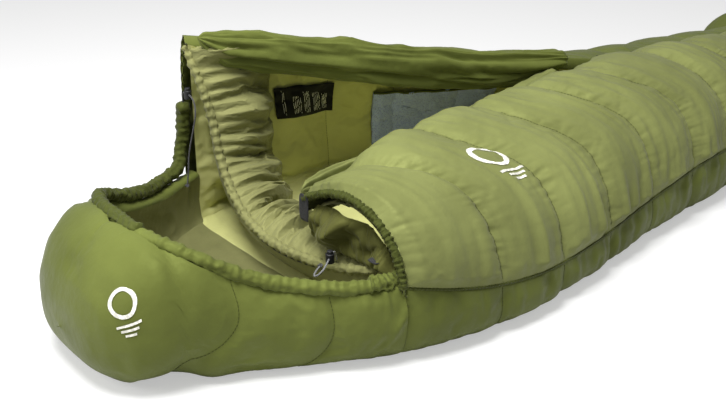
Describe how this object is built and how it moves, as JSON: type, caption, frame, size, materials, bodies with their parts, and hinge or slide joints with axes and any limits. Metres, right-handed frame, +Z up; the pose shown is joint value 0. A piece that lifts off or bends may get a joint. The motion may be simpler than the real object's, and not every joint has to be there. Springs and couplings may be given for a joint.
{
  "type": "mummy sleeping bag",
  "caption": "Mummy sleeping bag lying half unzipped: quilted shell, fill and lining, drawcord hood, draft collar, folding far flap, side zip with slider and pull, mesh pocket.",
  "frame": {"origin": "on the floor, on the bag's flat underside, on its axis, 1.1 m from the crown of the hood", "axes": "+X towards the foot, +Y towards the zip side, +Z up, out of the bag's top"},
  "size_m": [2.2264, 0.752, 0.425],
  "materials": {
    "shell": "satin",
    "shell_top": "satin",
    "fill": "matte",
    "lining": "satin",
    "hem": "satin",
    "mesh": "matte",
    "binding": "matte",
    "label": "satin",
    "hook_tape": "matte",
    "zip_tape": "matte",
    "zip_coil": "satin",
    "zip_metal": "satin",
    "grip": "matte",
    "cord": "matte",
    "lock_plastic": "satin",
    "spring_steel": "polished"
  },
  "bodies": {
    "bag": {"base_shell": "shell", "hood_neck_shell": "shell", "hood_crown_shell": "shell", "footbox_shell": "shell", "quilt_shell": "shell_top", "base_fill": "fill", "hood_neck_fill": "fill", "hood_crown_fill": "fill", "footbox_fill": "fill", "quilt_fill": "fill", "base_lining": "lining", "hood_neck_lining": "lining", "hood_crown_lining": "lining", "footbox_lining": "lining", "quilt_lining": "lining", "draft_collar": "lining", "draft_tube": "lining", "hood_hem": "hem", "quilt_neck_binding": "hem", "side_seam": "hem", "mesh_pocket": "mesh", "pocket_binding": "binding", "hanging_loops": "binding", "care_label": "label", "loop_patch": "hook_tape", "zip_tape_base": "zip_tape", "zip_tape_quilt": "zip_tape", "zip_coil_base": "zip_coil", "zip_coil_quilt": "zip_coil", "zip_stop_box": "zip_metal", "hood_drawcord": "cord", "hood_cord_tail": "cord", "collar_drawcord": "cord", "collar_cord_tail": "cord"},
    "far_flap": {"far_flap_shell": "shell", "far_flap_fill": "fill", "far_flap_lining": "lining", "zip_tape_far_flap": "zip_tape", "zip_coil_far_flap": "zip_coil"},
    "quilt_edge": {"quilt_edge_shell": "shell_top", "quilt_edge_fill": "fill", "quilt_edge_lining": "lining", "zip_tape_quilt_edge": "zip_tape", "zip_coil_quilt_edge": "zip_coil"},
    "zip_slider": {"zip_slider": "zip_metal"},
    "zip_pull": {"zip_pull": "zip_metal", "zip_pull_grip": "grip"},
    "neck_tab": {"neck_tab": "hook_tape"},
    "hood_lock": {"hood_lock_body": "lock_plastic", "hood_lock_spring": "spring_steel"},
    "hood_lock_button": {"hood_lock_plunger": "lock_plastic"},
    "collar_lock": {"collar_lock_body": "lock_plastic", "collar_lock_spring": "spring_steel"},
    "collar_lock_button": {"collar_lock_plunger": "lock_plastic"}
  },
  "joints": [
    {"name": "far_flap_fold", "type": "hinge", "parent": "bag", "child": "far_flap", "pos_m": [-0.67, 0.273, 0.426], "axis": [-0.9375, 0.3136, 0.1509], "range_deg": [0, 150]},
    {"name": "quilt_edge_fold", "type": "hinge", "parent": "bag", "child": "quilt_edge", "pos_m": [-0.67, -0.069, 0.216], "axis": [0.9944, 0.0697, 0.08], "range_deg": [0, 120]},
    {"name": "zip_travel", "type": "slide", "parent": "bag", "child": "zip_slider", "axis": [0.9978, 0, -0.0665], "range_m": [0, 0.7]},
    {"name": "zip_pull_hinge", "type": "hinge", "parent": "zip_slider", "child": "zip_pull", "pos_m": [0.21439, 0, 0.28985], "axis": [0, -1, 0], "range_deg": [0, 170]},
    {"name": "neck_tab_hinge", "type": "hinge", "parent": "bag", "child": "neck_tab", "pos_m": [-0.6785, -0.076, 0.221], "axis": [0, 1, 0], "range_deg": [0, 120]},
    {"name": "hood_lock_travel", "type": "slide", "parent": "bag", "child": "hood_lock", "axis": [-0.1952, -0.9808, 0], "range_m": [0, 0.007]},
    {"name": "hood_lock_press", "type": "slide", "parent": "hood_lock", "child": "hood_lock_button", "axis": [0, 0, -1], "range_m": [0, 0.0035], "stiffness_N_per_m": 500, "springref_m": -0.002, "deforming": ["hood_lock_spring"]},
    {"name": "collar_lock_travel", "type": "slide", "parent": "bag", "child": "collar_lock", "axis": [-0.7863, -0.6178, 0], "range_m": [0, 0.006]},
    {"name": "collar_lock_press", "type": "slide", "parent": "collar_lock", "child": "collar_lock_button", "axis": [0, 0, -1], "range_m": [0, 0.0035], "stiffness_N_per_m": 500, "springref_m": -0.002, "deforming": ["collar_lock_spring"]}
  ]
}
